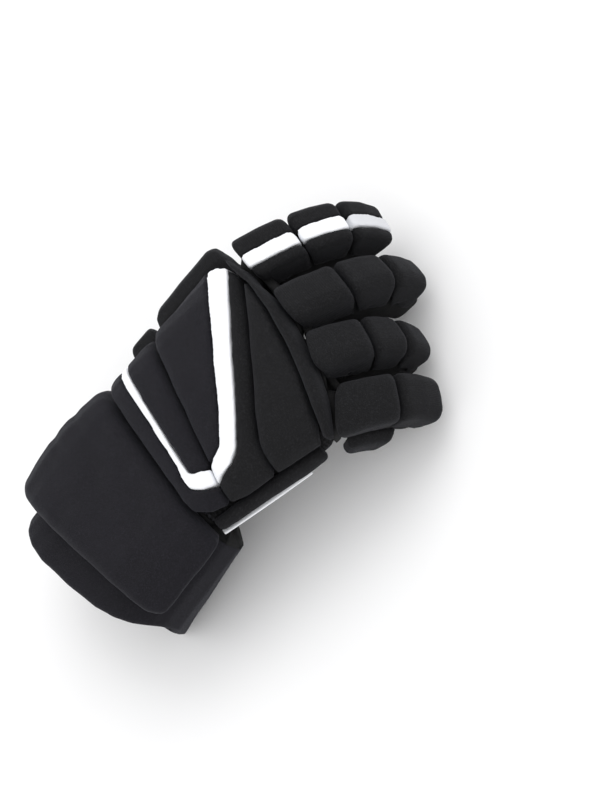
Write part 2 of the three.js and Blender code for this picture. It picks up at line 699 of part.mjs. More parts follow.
// A foam roll over the back of a limb between two creases and two shares of the wrap.
function roll(name, limb, [from, to], [left, right], look, seamLow = 1) {
  const start = from * limb.length + ROLL_GAP;
  const end = to * limb.length - ROLL_GAP;
  const drop = ROLL_TOP + ROLL_SIDE_DROP;
  const inside = {
    halfWidth: limb.stallHalfWidth + ROLL_SEAT, corner: STALL_CORNER + ROLL_SEAT,
    top: ROLL_TOP - ROLL_SEAT, drop,
  };
  const outside = { halfWidth: limb.halfWidth, corner: ROLL_CORNER, top: 0, drop };
  const seamGap = STRIPE_GAP / limb.halfWidth;
  const place = (k, b, side) => {
    const s = lerp(start, end, (b + 1) / 2);
    const taper = lerp(1, WIDTH_TIP_SHARE, clamp(s / limb.length, 0, 1));
    const shifted = clamp(k, left <= -1 ? -1 : left + seamGap, right >= 1 ? 1 : right - seamGap);
    const low = wrapPoint(shifted, inside);
    const high = wrapPoint(shifted, outside);
    high.y += (high.x * high.x) / (2 * FINGER_DOME) * (Math.abs(shifted) < WRAP_ROUND ? 1 : 0);
    const endRise = roundedRise(((1 - Math.abs(b)) * (end - start)) / 2, ROLL_EDGE, ROLL_CREASE);
    const edgeRise = Math.abs(shifted) > 0.99 ? 0.5 : 1;
    const nearSeam = Math.min(left > -1 ? k - left : 9, right < 1 ? right - k : 9);
    const seamRise = nearSeam < 0.01 ? seamLow : 1;
    const p = side ? low.lerp(high, endRise * edgeRise * seamRise) : low;
    return limb.point(s, p.x * taper, p.y);
  };
  const stations = [-1, -WRAP_ROUND, -0.65, -WRAP_FLAT, 0, WRAP_FLAT, 0.65, WRAP_ROUND, 1];
  const across = [left, ...stations.filter((k) => k > left + 0.05 && k < right - 0.05), right];
  const edge = (2 * ROLL_EDGE) / (end - start);
  const rows = [-1, -1 + 0.3 * edge, -1 + edge, 0, 1 - edge, 1 - 0.3 * edge, 1];
  addPart(name, cushion(across, rows, place), look);
}

function stripedRolls(name, limb, creases, stripeWidth, offset) {
  const flat = limb.halfWidth - ROLL_CORNER;
  const half = (stripeWidth / 2 / flat) * WRAP_FLAT;
  const centre = (offset / flat) * WRAP_FLAT;
  for (let i = 0; i + 1 < creases.length; i++) {
    const span = [creases[i], creases[i + 1]];
    roll(`${name}_roll_${i + 1}_thumb_side`, limb, span, [-1, centre - half], FABRIC, 0.85);
    roll(`${name}_stripe_${i + 1}`, limb, span, [centre - half, centre + half], WHITE, 0.93);
    roll(`${name}_roll_${i + 1}_little_side`, limb, span, [centre + half, 1], FABRIC, 0.85);
  }
}

const limbs = {};
for (const [name, finger] of Object.entries(FINGERS)) limbs[name] = fingerLimb(finger);
for (const [name, limb] of Object.entries(limbs)) {
  stall(`${name}_stall`, limb);
  const creases = FINGERS[name].rolls;
  if (name === "index") {
    stripedRolls(name, limb, creases, INDEX_STRIPE_WIDTH, INDEX_STRIPE_SHIFT);
    continue;
  }
  for (let i = 0; i + 1 < creases.length; i++) {
    roll(`${name}_roll_${i + 1}`, limb, [creases[i], creases[i + 1]], [-1, 1], FABRIC);
  }
}

// Leather webs close the wide gaps between the fingers' roots below the rolls.
function web(name, left, right) {
  const top = ROLL_TOP + ROLL_SIDE_DROP + WEB_DROP;
  const bottom = ROLL_TOP + STALL_DEPTH;
  const place = (a, b, side) => {
    const depth = lerp(top, bottom, (b + 1) / 2);
    const rear = (limb) => limb.start + WEB_SET + side * WEB_WALL;
    const from = left.point(rear(left), left.stallHalfWidth + STALL_GAP, depth);
    const to = right.point(rear(right), -right.stallHalfWidth - STALL_GAP, depth);
    return from.lerp(to, (a + 1) / 2);
  };
  addPart(name, cushion([-1, 1], [-1, 0, 1], place), LEATHER);
}

web("index_middle_web", limbs.index, limbs.middle);
web("middle_ring_web", limbs.middle, limbs.ring);

// The gusset closes the little finger's free side below its first roll.
const GUSSET = {
  from: 0.02, to: 0.62, top: ROLL_TOP + ROLL_SIDE_DROP + 1, bottom: ROLL_TOP + STALL_DEPTH + 9,
};

function gusset(name, limb) {
  const [start, end] = [GUSSET.from * limb.length, GUSSET.to * limb.length];
  const place = (a, b, side) => {
    const depth = lerp(GUSSET.top, GUSSET.bottom, (a + 1) / 2);
    const s = lerp(start, end, (b + 1) / 2);
    const rise = roundedRise(1 - Math.abs(a), 0.6, 0.35) * roundedRise(1 - Math.abs(b), 0.25, 0.35);
    return limb.point(s, limb.stallHalfWidth + ROLL_SEAT + (side ? GUSSET_FOAM * rise : 0), depth);
  };
  const acrossLines = [-1, -0.75, -0.4, 0.4, 0.75, 1];
  const alongLines = [-1, -0.9, -0.75, -0.25, 0.25, 0.75, 0.9, 1];
  addPart(name, cushion(acrossLines, alongLines, place), FABRIC);
}

gusset("little_gusset", limbs.little);
const thumb = thumbLimb();
const thumbSeam = THUMB.rolls[1] * thumb.length; // where the cap of the thumb is sewn on
stall("thumb_stall", thumb, thumb.start + ROLL_GAP, thumbSeam - ROLL_GAP / 2);
stall("thumb_cap", thumb, thumbSeam + ROLL_GAP / 2);
stripedRolls("thumb", thumb, THUMB.rolls, THUMB_STRIPE_WIDTH, 0);

// The palm runs from the lining's index edge, under the hand, to its little finger's edge, and
// forward to the underside of the finger stalls. Its columns end at the stalls' corners.
const PALM_COLUMNS = [-1, -0.93, -0.55, -0.5, -0.12, -0.07, 0.3, 0.35, 0.8, 1];

function palmEdge(a, t) {
  const gap = STALL_GAP / backReach(a, t).reach;
  const past = a + Math.sign(a) * gap;
  return [backPoint(past, t, -LINING_WALL), backPoint(past, t, 0)];
}

function palmRow(t, height) {
  const left = palmEdge(INDEX_EDGE, t);
  const right = palmEdge(LITTLE_EDGE, t);
  const inner = PALM_COLUMNS.map((u) => {
    const p = left[0].clone().lerp(right[0], (u + 1) / 2);
    p.z = lerp(height, p.z, u ** 4);
    return p;
  });
  return inner.map((p, i) => {
    if (i === 0) return left;
    if (i === inner.length - 1) return right;
    const along = inner[i + 1].clone().sub(inner[i - 1]);
    const down = new THREE.Vector3(along.z, 0, -along.x).normalize();
    return [p, p.clone().addScaledVector(down, PALM_WALL)];
  });
}

function palmFront() {
  const depth = ROLL_TOP + STALL_DEPTH;
  const corners = Object.values(limbs).flatMap((limb) => [-1, 1].map((side) => {
    const across = side * (limb.stallHalfWidth - STALL_CORNER);
    const s = limb.start - STALL_GAP;
    return [limb.point(s, across, depth - PALM_WALL), limb.point(s, across, depth)];
  }));
  return [palmEdge(INDEX_EDGE, 0.95), ...corners, palmEdge(LITTLE_EDGE, 0.93)];
}

const palmRows = [palmRow(-0.03, PALM_WRIST_HEIGHT), palmRow(0.5, PALM_MIDDLE_HEIGHT), palmFront()];
const palmPlace = (column, row, side) => {
  const i = Math.min(Math.floor(row), palmRows.length - 2);
  return palmRows[i][column][side].clone().lerp(palmRows[i + 1][column][side], row - i);
};
const palmSheet = cushion(PALM_COLUMNS.map((_, i) => i), [0, 0.5, 1, 1.5, 2], palmPlace);

// The thumb's stall passes through a hole in the palm.
function solid(geometry) {
  const bare = geometry.clone();
  bare.deleteAttribute("normal");
  const merged = mergeVertices(bare, 1e-4);
  return new wasm.Manifold(new wasm.Mesh({
    numProp: 3,
    vertProperties: new Float32Array(merged.getAttribute("position").array),
    triVerts: new Uint32Array(merged.index.array),
  }));
}

function geometryOf(body) {
  const { vertProperties, triVerts } = body.getMesh();
  const geometry = new THREE.BufferGeometry();
  geometry.setAttribute("position", new THREE.BufferAttribute(vertProperties, 3));
  geometry.setIndex(new THREE.BufferAttribute(triVerts, 1));
  geometry.computeVertexNormals();
  return geometry;
}

const THUMB_HOLE = [-0.14, 0, 0.1, 0.2, 0.3, 0.4]; // rings of the hole as shares of the thumb
const thumbHole = loftRings(THUMB_HOLE.map((share) => (
  stallRing(thumb, share * thumb.length, -STALL_GAP)
)));
addPart("palm", geometryOf(solid(palmSheet).subtract(solid(thumbHole))), LEATHER);

const CUFF_LENGTH = CUFF_FRONT_Y - CUFF_REAR_Y;

// The cuff: v runs from 0 at the front to 1 at the rear edge of the outer pad, angle from the
// crown towards the little finger's side, and h is the height over the opening's wall.
function cuffPoint(angle, v, h) {
  const turn = degToRad(angle);
  const side = Math.sign(Math.sin(turn));
  const up = Math.cos(turn);
  const size = (key) => lerp(CUFF_FRONT[key], CUFF_REAR[key], v);
  const round = 2 / CUFF_SQUARENESS;
  const narrow = 1 - CUFF_PALM_NARROWING * Math.max(0, -up);
  const x = (size("halfWidth") + h) * narrow * side * Math.abs(Math.sin(turn)) ** round;
  const z = (size(up > 0 ? "up" : "down") + h) * Math.sign(up) * Math.abs(up) ** round;
  const tilt = degToRad(CUFF_TILT);
  const across = clamp((x / (size("halfWidth") + h) + 1) / 2, 0, 1);
  const rear = CUFF_REAR_Y + CUFF_REAR_SLANT * across;
  const past = Math.max(v - 1, 0) * CUFF_LENGTH * (1 - OVERHANG_ROUNDING * (2 * across - 1) ** 4);
  return new THREE.Vector3(
    size("x") + x * Math.cos(tilt) + z * Math.sin(tilt),
    lerp(CUFF_FRONT_Y, rear, Math.min(v, 1)) - past,
    size("z") + z * Math.cos(tilt) - x * Math.sin(tilt),
  );
}

// Soft folds that dent the outer pad on the index side, as shares of the cuff's length and foam.
const CUFF_FOLDS = [{ at: 0.3, depth: 0.08 }, { at: 0.52, depth: 0.07 }];
const CUFF_SIDE_START = 20; // degrees from the crown to where that side starts
const CUFF_SIDE_TURN = 30; // and over which it comes in
const CUFF_SWELL = 5; // how much thicker the outer pad is halfway along its index side
const CUFF_FOLD_WIDTH = 0.06;

function cuffPad(name, { from, to, start, end, low, foam, lowest, edge, corner, folds = [] }, look) {
  const rim = CUFF_RIM;
  const angles = [from, from + rim * 0.4, from + rim];
  const first = CUFF_FACET * Math.ceil((from + rim) / CUFF_FACET + 0.3);
  for (let angle = first; angle < to - rim - 2; angle += CUFF_FACET) angles.push(angle);
  angles.push(to - rim, to - rim * 0.4, to);
  const length = (end - start) * CUFF_LENGTH;
  const e = edge / length;
  const dents = folds.flatMap(({ at }) => [at - CUFF_FOLD_WIDTH, at, at + CUFF_FOLD_WIDTH]);
  const rows = [0, 0.35 * e, e, ...dents];
  rows.push(...(folds.length ? [0.75] : [0.4, CUFF_REST]));
  rows.push(1 - e, 1 - 0.35 * e, 1);
  const place = (angle, b, side) => {
    const fromSide = degToRad(Math.min(angle - from, to - angle)) * CUFF_REAR.halfWidth;
    const cut = corner ? corner * (1 - roundedRise(fromSide, corner, 0)) : 0;
    const v = lerp(start, end - cut / CUFF_LENGTH, b);
    const round = roundedRise(Math.min(b, 1 - b) * length, edge, CUFF_EDGE_LOW);
    const sideways = roundedRise(Math.min(angle - from, to - angle), rim, CUFF_SIDE_LOW);
    let h = low + (side ? foam * round * sideways : 0);
    const onSide = clamp((-angle - CUFF_SIDE_START) / CUFF_SIDE_TURN, 0, 1);
    if (side && folds.length) h += CUFF_SWELL * onSide * Math.sin(Math.PI * b);
    for (const { at, depth } of folds) {
      const near = clamp(1 - Math.abs(b - at) / CUFF_FOLD_WIDTH, 0, 1);
      if (side) h -= depth * foam * near * onSide;
    }
    const p = cuffPoint(angle, v, h);
    if (lowest !== undefined) p.z = Math.max(p.z, lowest);
    return p;
  };
  addPart(name, cushion(angles, rows, place), look);
}

const overhang = 1 + INNER_CUFF_OVERHANG / CUFF_LENGTH;
cuffPad("cuff_inner_pad", {
  from: -INNER_CUFF_REACH, to: INNER_CUFF_REACH, start: CUFF_START, end: overhang,
  low: 0, foam: INNER_CUFF_FOAM, edge: INNER_CUFF_EDGE,
}, FABRIC);
cuffPad("cuff_outer_pad", {
  from: -OUTER_CUFF_REACH.index, to: OUTER_CUFF_REACH.little, start: 0, end: 1,
  low: INNER_CUFF_FOAM + SEAT, foam: OUTER_CUFF_FOAM, edge: CUFF_EDGE, corner: CUFF_CORNER,
  folds: CUFF_FOLDS,
}, FABRIC);
cuffPad("cuff_palm_pad", {
  from: INNER_CUFF_REACH + 1, to: 359 - INNER_CUFF_REACH, start: CUFF_START, end: overhang,
  low: 0, foam: PALM_CUFF_FOAM, edge: INNER_CUFF_EDGE, lowest: 0,
}, FABRIC);

// The origin is the middle of the glove's footprint, on the floor.
const box = new THREE.Box3().setFromObject(glove);
glove.position.set(-(box.min.x + box.max.x) / 2, -(box.min.y + box.max.y) / 2, -box.min.z);

export default glove;
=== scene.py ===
"""Ice hockey glove: padded covers, leather and seams built around the fixed frame."""

import math

import bmesh
import bpy
import numpy as np
from mathutils import Matrix, Vector, noise
from mathutils.kdtree import KDTree


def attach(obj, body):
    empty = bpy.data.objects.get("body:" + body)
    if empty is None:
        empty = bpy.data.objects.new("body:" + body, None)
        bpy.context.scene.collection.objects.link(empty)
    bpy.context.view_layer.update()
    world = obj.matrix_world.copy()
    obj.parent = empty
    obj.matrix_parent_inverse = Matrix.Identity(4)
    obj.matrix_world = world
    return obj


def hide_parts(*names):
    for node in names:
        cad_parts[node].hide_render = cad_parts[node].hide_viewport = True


bl_info = {
    "name": "Ice Hockey Glove",
    "version": (1, 0, 0),
    "blender": (4, 5, 0),
    "location": "View3D > Sidebar > Glove",
    "description": "Builds a padded ice hockey glove on its packed frame",
    "category": "Object",
}

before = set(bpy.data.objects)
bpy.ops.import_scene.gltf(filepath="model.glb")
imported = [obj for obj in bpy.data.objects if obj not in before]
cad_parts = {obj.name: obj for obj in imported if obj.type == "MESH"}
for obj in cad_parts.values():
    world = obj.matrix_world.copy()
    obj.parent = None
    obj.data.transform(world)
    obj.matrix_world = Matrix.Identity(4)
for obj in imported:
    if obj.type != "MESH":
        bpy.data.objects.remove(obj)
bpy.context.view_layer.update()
MM = 0.001
BODY = "root"

# CAD nodes, by the way that they are made.
KNIT_PADS = ("border_pad", "knuckle_panel")
SMOOTH_PADS = ("wrist_band", "wrist_pad", "centre_pad")
BACK_STRIPES = ("thin_stripe", "wide_stripe")
SIDE_ROLLS = ("side_roll_short", "side_roll_long", "side_panel", "knuckle_roll")
PLAIN_ROLLS = {"middle": 3, "ring": 3, "little": 2}
STRIPED_ROLLS = {"index": 3, "thumb": 2}
STALLS = ("index_stall", "middle_stall", "ring_stall", "little_stall", "thumb_stall", "thumb_cap")
FINGERS = ("index", "middle", "ring", "little")
WEBS = ("index_middle_web", "middle_ring_web")

# Smoothing passes of the pads that differ from the setting.
STRIPE_SOFTNESS = 3
OUTER_CUFF_SOFTNESS = 9
INNER_CUFF_SOFTNESS = 4

# How near the points of two sides of a gap lie to each other, to be joined across it.
STALL_REACH = 14 * MM
LINING_REACH = 13 * MM
ROOT_REACH = 9 * MM
CROTCH_REACH = 7 * MM
CROTCH_DEPTH = 5 * MM
WRIST_REACH = 24 * MM
CUFF_SEAM_REACH = 2.5 * MM

SHARP_LOSS = 0.45 * MM  # a point that smoothing moves further than this lies on an edge
SHARP_SHARE = 0.1  # at most this share of a pad's points does
FINE_SHARE = 0.8  # width of the gathers, as a share of their reach
FLOOR_HALF = 6
SENSOR_WIDTH = 36
VIEW_DISTANCE = 1.3


class GloveFoam(bpy.types.PropertyGroup):
    """Sizes of the padding's surface."""

    voxel: bpy.props.FloatProperty(
        name="Surface step", description="Spacing of the points of a padded surface",
        default=1.15 * MM, min=0.6 * MM, max=4 * MM, unit="LENGTH")
    softness: bpy.props.IntProperty(
        name="Softness", description="Smoothing passes that round the edges of a pad",
        default=5, min=0, max=40)
    pucker: bpy.props.FloatProperty(
        name="Pucker", description="Depth of the small gathers along a seam",
        default=0.35 * MM, min=0.0, max=2 * MM, unit="LENGTH")
    pucker_reach: bpy.props.FloatProperty(
        name="Pucker reach", description="How far from a seam the gathers run out",
        default=4 * MM, min=0.5 * MM, max=20 * MM, unit="LENGTH")
    sag: bpy.props.FloatProperty(
        name="Unevenness", description="Height of the slow waves of soft foam",
        default=0.45 * MM, min=0.0, max=3 * MM, unit="LENGTH")
    sag_size: bpy.props.FloatProperty(
        name="Unevenness size", description="Width of the slow waves of soft foam",
        default=17 * MM, min=2 * MM, max=80 * MM, unit="LENGTH")


class GloveColours(bpy.types.PropertyGroup):
    """Colours of the fabrics, leather and synthetics."""

    knit: bpy.props.FloatVectorProperty(
        name="Knit fabric", description="Black fabric of the fingers and the knuckles",
        subtype="COLOR", size=3, default=(0.0062, 0.0062, 0.0068), min=0, max=1)
    woven: bpy.props.FloatVectorProperty(
        name="Woven fabric", description="Cooler black fabric of the cuff and the back's middle",
        subtype="COLOR", size=3, default=(0.0064, 0.0061, 0.0082), min=0, max=1)
    leather: bpy.props.FloatVectorProperty(
        name="Leather", description="Black leather of the palm and inside the fingers",
        subtype="COLOR", size=3, default=(0.0055, 0.0055, 0.0058), min=0, max=1)
    lining: bpy.props.FloatVectorProperty(
        name="Lining", description="Lining inside the hand",
        subtype="COLOR", size=3, default=(0.0045, 0.0045, 0.0048), min=0, max=1)
    white: bpy.props.FloatVectorProperty(
        name="White", description="White synthetic of the stripes",
        subtype="COLOR", size=3, default=(0.86, 0.87, 0.9), min=0, max=1)
    silver: bpy.props.FloatVectorProperty(
        name="Silver", description="Greyer synthetic of the stripe over the fingertip",
        subtype="COLOR", size=3, default=(0.62, 0.63, 0.66), min=0, max=1)


class GloveStage(bpy.types.PropertyGroup):
    """Floor, light and camera."""

    floor: bpy.props.FloatVectorProperty(
        name="Floor", description="Colour of the floor",
        subtype="COLOR", size=3, default=(0.9, 0.9, 0.905), min=0, max=1)
    lens: bpy.props.FloatProperty(
        name="Lens", description="Focal length of the camera", default=101.17, min=20, max=300,
        unit="CAMERA")
    ambient: bpy.props.FloatProperty(
        name="Ambient", description="Strength of the light from all round",
        default=1.05, min=0, max=5)
    key: bpy.props.FloatProperty(
        name="Key", description="Power of the main soft light", default=7, min=0, max=500,
        unit="POWER")


SETTINGS = {"glove_foam": GloveFoam, "glove_colours": GloveColours, "glove_stage": GloveStage}


# Materials.


def feed(socket, value):
    """Links a socket to another one, or sets its value."""
    if isinstance(value, bpy.types.NodeSocket):
        socket.id_data.links.new(value, socket)
    else:
        socket.default_value = value


class Nodes:
    """A short way to write a material's node tree."""

    def __init__(self, name):
        self.material = bpy.data.materials.new(name)
        self.material.use_nodes = True
        self.tree = self.material.node_tree
        self.shader = self.tree.nodes["Principled BSDF"]

    def add(self, kind, inputs=None, **settings):
        node = self.tree.nodes.new(kind)
        for key, value in settings.items():
            setattr(node, key, value)
        for key, value in (inputs or {}).items():
            feed(node.inputs[key], value)
        return node

    def math(self, operation, a, b=0.0):
        return self.add("ShaderNodeMath", {0: a, 1: b}, operation=operation).outputs[0]

    def mix(self, factor, a, b):
        node = self.add("ShaderNodeMix", {0: factor}, data_type="RGBA")
        feed(node.inputs[6], a)
        feed(node.inputs[7], b)
        return node.outputs[2]

    def noise(self, where, scale, detail=3.0, roughness=0.5):
        made = self.add("ShaderNodeTexNoise", {
            "Vector": where, "Scale": scale, "Detail": detail, "Roughness": roughness})
        return made.outputs["Fac"]

    def ramp(self, value, stops):
        node = self.add("ShaderNodeValToRGB", {"Fac": value})
        elements = node.color_ramp.elements
        for element, (place, shade) in zip(elements, stops):
            element.position = place
            element.color = (shade, shade, shade, 1)
        return node.outputs["Color"]

    def bump(self, height, distance, strength=1.0, normal=None):
        inputs = {"Height": height, "Distance": distance, "Strength": strength}
        if normal:
            inputs["Normal"] = normal
        return self.add("ShaderNodeBump", inputs).outputs["Normal"]

    def set(self, **values):
        for key, value in values.items():
            feed(self.shader.inputs[key.replace("_", " ")], value)


def shade(colour, by):
    return (*(min(1.0, c * by) for c in colour), 1.0)


def weave_height(nodes, uv, pitch):
    """Height of a plain weave whose threads are pitch wide, on a UV map in metres."""
    turns = math.tau / 20 / (2 * pitch)
    across = nodes.add("ShaderNodeTexWave", {"Vector": uv, "Scale": turns}, bands_direction="X")
    along = nodes.add("ShaderNodeTexWave", {"Vector": uv, "Scale": turns}, bands_direction="Y")
    cells = nodes.add("ShaderNodeTexChecker", {"Vector": uv, "Scale": 1 / pitch})
    over = nodes.math("MULTIPLY", across.outputs["Fac"], cells.outputs["Fac"])
    under = nodes.math("SUBTRACT", 1.0, cells.outputs["Fac"])
    under = nodes.math("MULTIPLY", along.outputs["Fac"], under)
    return nodes.math("ADD", over, under)


def fabric(name, colour, pitch, depth, sheen, roughness):
    nodes = Nodes(name)
    uv = nodes.add("ShaderNodeUVMap", uv_map="cloth").outputs["UV"]
    place = nodes.add("ShaderNodeTexCoord").outputs["Object"]
    weave = weave_height(nodes, uv, pitch)
    slub = nodes.noise(place, 900, 2)
    cloud = nodes.noise(place, 38, 4, 0.6)
    lint = nodes.noise(place, 0.6 / pitch, 2, 0.7)
    dark = nodes.mix(weave, shade(colour, 0.62), shade(colour, 1.25))
    tone = nodes.mix(nodes.ramp(cloud, ((0.3, 0), (0.75, 1))), dark, shade(colour, 1.35))
    tone = nodes.mix(nodes.ramp(lint, ((0.5, 0), (0.68, 0.8))), tone, shade(colour, 3.4))
    rough = nodes.math("ADD", nodes.math("MULTIPLY", cloud, 0.14), roughness - 0.07)
    normal = nodes.bump(weave, depth, 0.85)
    normal = nodes.bump(slub, 0.12 * MM, 0.5, normal)
    nodes.set(Base_Color=tone, Roughness=rough, Normal=normal)
    nodes.set(Sheen_Weight=sheen, Sheen_Roughness=0.45, Specular_IOR_Level=0.14)
    nodes.shader.inputs["Sheen Tint"].default_value = (0.85, 0.87, 1.0, 1.0)
    return nodes.material


def leather(name, colour, roughness, grain):
    nodes = Nodes(name)
    place = nodes.add("ShaderNodeTexCoord").outputs["Object"]
    cells = nodes.add("ShaderNodeTexVoronoi", {"Vector": place, "Scale": 1 / grain},
                      feature="SMOOTH_F1").outputs["Distance"]
    nap = nodes.noise(place, 1400, 3)
    wear = nodes.noise(place, 45, 5, 0.65)
    crease = nodes.add("ShaderNodeTexWave", {
        "Vector": place, "Scale": 26, "Distortion": 9, "Detail": 3}).outputs["Fac"]
    worn = nodes.ramp(wear, ((0.35, 0), (0.7, 1)))
    tone = nodes.mix(worn, shade(colour, 0.8), shade(colour, 1.7))
    tone = nodes.mix(nodes.math("MULTIPLY", nap, 0.35), tone, shade(colour, 2.2))
    rough = nodes.math("ADD", nodes.math("MULTIPLY", wear, 0.25), roughness - 0.12)
    normal = nodes.bump(crease, 0.25 * MM, 0.35)
    normal = nodes.bump(cells, 0.12 * MM, 0.6, normal)
    normal = nodes.bump(nap, 0.06 * MM, 0.5, normal)
    nodes.set(Base_Color=tone, Roughness=rough, Normal=normal, Specular_IOR_Level=0.18)
    return nodes.material


def synthetic(name, colour):
    nodes = Nodes(name)
    place = nodes.add("ShaderNodeTexCoord").outputs["Object"]
    grain = nodes.add("ShaderNodeTexVoronoi", {"Vector": place, "Scale": 1700},
                      feature="SMOOTH_F1").outputs["Distance"]
    cloud = nodes.noise(place, 60, 4, 0.6)
    scuff = nodes.noise(place, 260, 4, 0.7)
    clouded = nodes.ramp(cloud, ((0.35, 0), (0.75, 1)))
    tone = nodes.mix(clouded, shade(colour, 0.97), shade(colour, 1.0))
    tone = nodes.mix(nodes.ramp(scuff, ((0.7, 0), (0.85, 0.3))), tone, shade(colour, 0.82))
    rough = nodes.math("ADD", nodes.math("MULTIPLY", scuff, 0.2), 0.36)
    normal = nodes.bump(grain, 0.05 * MM, 0.5)
    nodes.set(Base_Color=tone, Roughness=rough, Normal=normal, Specular_IOR_Level=0.45)
    return nodes.material


def material(kind):
    """The finish of that name, made once."""
    found = bpy.data.materials.get(kind)
    if found:
        return found
    colours = bpy.context.scene.glove_colours
    if kind == "knit_fabric":
        return fabric(kind, colours.knit, 0.5 * MM, 0.16 * MM, 0.05, 0.86)
    if kind == "woven_fabric":
        return fabric(kind, colours.woven, 0.36 * MM, 0.09 * MM, 0.06, 0.8)
    if kind == "palm_leather":
        return leather(kind, colours.leather, 0.72, 1.1 * MM)
    if kind == "lining_mesh":
        return fabric(kind, colours.lining, 1.3 * MM, 0.4 * MM, 0.05, 0.92)
    if kind == "silver_synthetic":
        return synthetic(kind, colours.silver)
    return synthetic("white_synthetic", colours.white)


# Meshes.


def merged_copy(node):
    """A bmesh of a CAD node with its doubles merged and its triangles joined to quads."""
    shape = bmesh.new()
    shape.from_mesh(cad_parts[node].data)
    bmesh.ops.remove_doubles(shape, verts=shape.verts, dist=0.01 * MM)
    bmesh.ops.join_triangles(
        shape, faces=shape.faces, angle_face_threshold=math.radians(50),
        angle_shape_threshold=math.radians(60), cmp_sharp=False)
    return shape


def new_piece(name, shape, finish):
    """A linked object from a bmesh, which it frees, smooth and with its finish."""
    mesh = bpy.data.meshes.new(name)
    shape.to_mesh(mesh)
    shape.free()
    for face in mesh.polygons:
        face.use_smooth = True
    mesh.materials.append(material(finish))
    piece = bpy.data.objects.new(name, mesh)
    bpy.context.scene.collection.objects.link(piece)
    return piece


def baked(piece):
    """Applies the piece's modifiers to its mesh."""
    bpy.context.view_layer.update()
    evaluated = piece.evaluated_get(bpy.context.evaluated_depsgraph_get())
    mesh = bpy.data.meshes.new_from_object(evaluated)
    piece.modifiers.clear()
    old, piece.data = piece.data, mesh
    bpy.data.meshes.remove(old)
    mesh.name = piece.name
    return piece


def points_of(mesh):
    flat = np.empty(len(mesh.vertices) * 3, np.float32)
    mesh.vertices.foreach_get("co", flat)
    return flat.reshape(-1, 3).astype(float)


def set_points(mesh, points):
    mesh.vertices.foreach_set("co", points.astype(np.float32).ravel())
    mesh.update()


def normals_of(mesh):
    flat = np.empty(len(mesh.vertices) * 3, np.float32)
    mesh.vertex_normals.foreach_get("vector", flat)
    return flat.reshape(-1, 3).astype(float)


class Relaxer:
    """Moves a mesh's points towards the middle of their neighbours."""

    def __init__(self, mesh):
        flat = np.empty(len(mesh.edges) * 2, np.int32)
        mesh.edges.foreach_get("vertices", flat)
        self.a, self.b = flat.reshape(-1, 2).T
        self.count = len(mesh.vertices)
        self.degree = np.bincount(np.concatenate((self.a, self.b)), minlength=self.count)

    def mean(self, values):
        total = np.empty_like(values)
        for k in range(values.shape[1]):
            total[:, k] = np.bincount(self.a, values[self.b, k], self.count)
            total[:, k] += np.bincount(self.b, values[self.a, k], self.count)
        return total / np.maximum(self.degree, 1)[:, None]

    def relax(self, points, passes, share=0.5):
        for _ in range(passes):
            points = points + share * (self.mean(points) - points)
        return points


def tree_of(points):
    tree = KDTree(len(points))
    for i, point in enumerate(points):
        tree.insert(point, i)
    tree.balance()
    return tree


def edge_distance(points, sharp):
    """Distance of each point to the nearest of the sharp ones."""
    if not len(sharp):
        return np.full(len(points), 1.0)
    tree = tree_of(sharp)
    return np.array([tree.find(p)[2] for p in points])


def add_cloth_map(mesh):
    """A UV map in metres, laid on each face from the side that it faces most."""
    count = len(mesh.loops)
    where = np.empty(count, np.int32)
    mesh.loops.foreach_get("vertex_index", where)
    normals = np.empty(len(mesh.polygons) * 3, np.float32)
    mesh.polygons.foreach_get("normal", normals)
    totals = np.empty(len(mesh.polygons), np.int32)
    mesh.polygons.foreach_get("loop_total", totals)
    facing = np.repeat(np.abs(normals.reshape(-1, 3)).argmax(1), totals)
    points = points_of(mesh)[where]
    u = np.where(facing == 0, points[:, 1], points[:, 0])
    v = np.where(facing == 2, points[:, 1], points[:, 2])
    layer = mesh.uv_layers.new(name="cloth")
    layer.data.foreach_set("uv", np.stack((u, v), 1).astype(np.float32).ravel())


def declare(piece, node):
    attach(piece, BODY)
    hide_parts(node)


def foam_piece(node, finish, softness=None, pucker=1.0):
    """A padded cover over a CAD node: its form, rounded, uneven and gathered at its seams."""
    foam = bpy.context.scene.glove_foam
    piece = new_piece(f"{node}_cover", merged_copy(node), finish)
    remesh = piece.modifiers.new("Surface", "REMESH")
    remesh.mode = "VOXEL"
    remesh.voxel_size = foam.voxel
    baked(piece)
    mesh = piece.data
    relaxer = Relaxer(mesh)
    start = points_of(mesh)
    passes = foam.softness if softness is None else softness
    points = relaxer.relax(start, passes)
    lost = np.linalg.norm(points - start, axis=1)
    set_points(mesh, points)
    normals = normals_of(mesh)
    sharp = points[lost > max(SHARP_LOSS, np.quantile(lost, 1 - SHARP_SHARE))]
    distance = edge_distance(points, sharp)
    middle = 1 - np.exp(-distance / foam.pucker_reach)
    push = np.empty(len(points))
    for i, point in enumerate(points):
        slow = noise.noise(Vector(point) / foam.sag_size)
        fine = noise.noise(Vector(point) / (foam.pucker_reach * FINE_SHARE))
        push[i] = slow * foam.sag + fine * foam.pucker * pucker * (1 - middle[i])
    set_points(mesh, points + normals * push[:, None])
    for face in mesh.polygons:
        face.use_smooth = True
    add_cloth_map(mesh)
    declare(piece, node)
    return piece


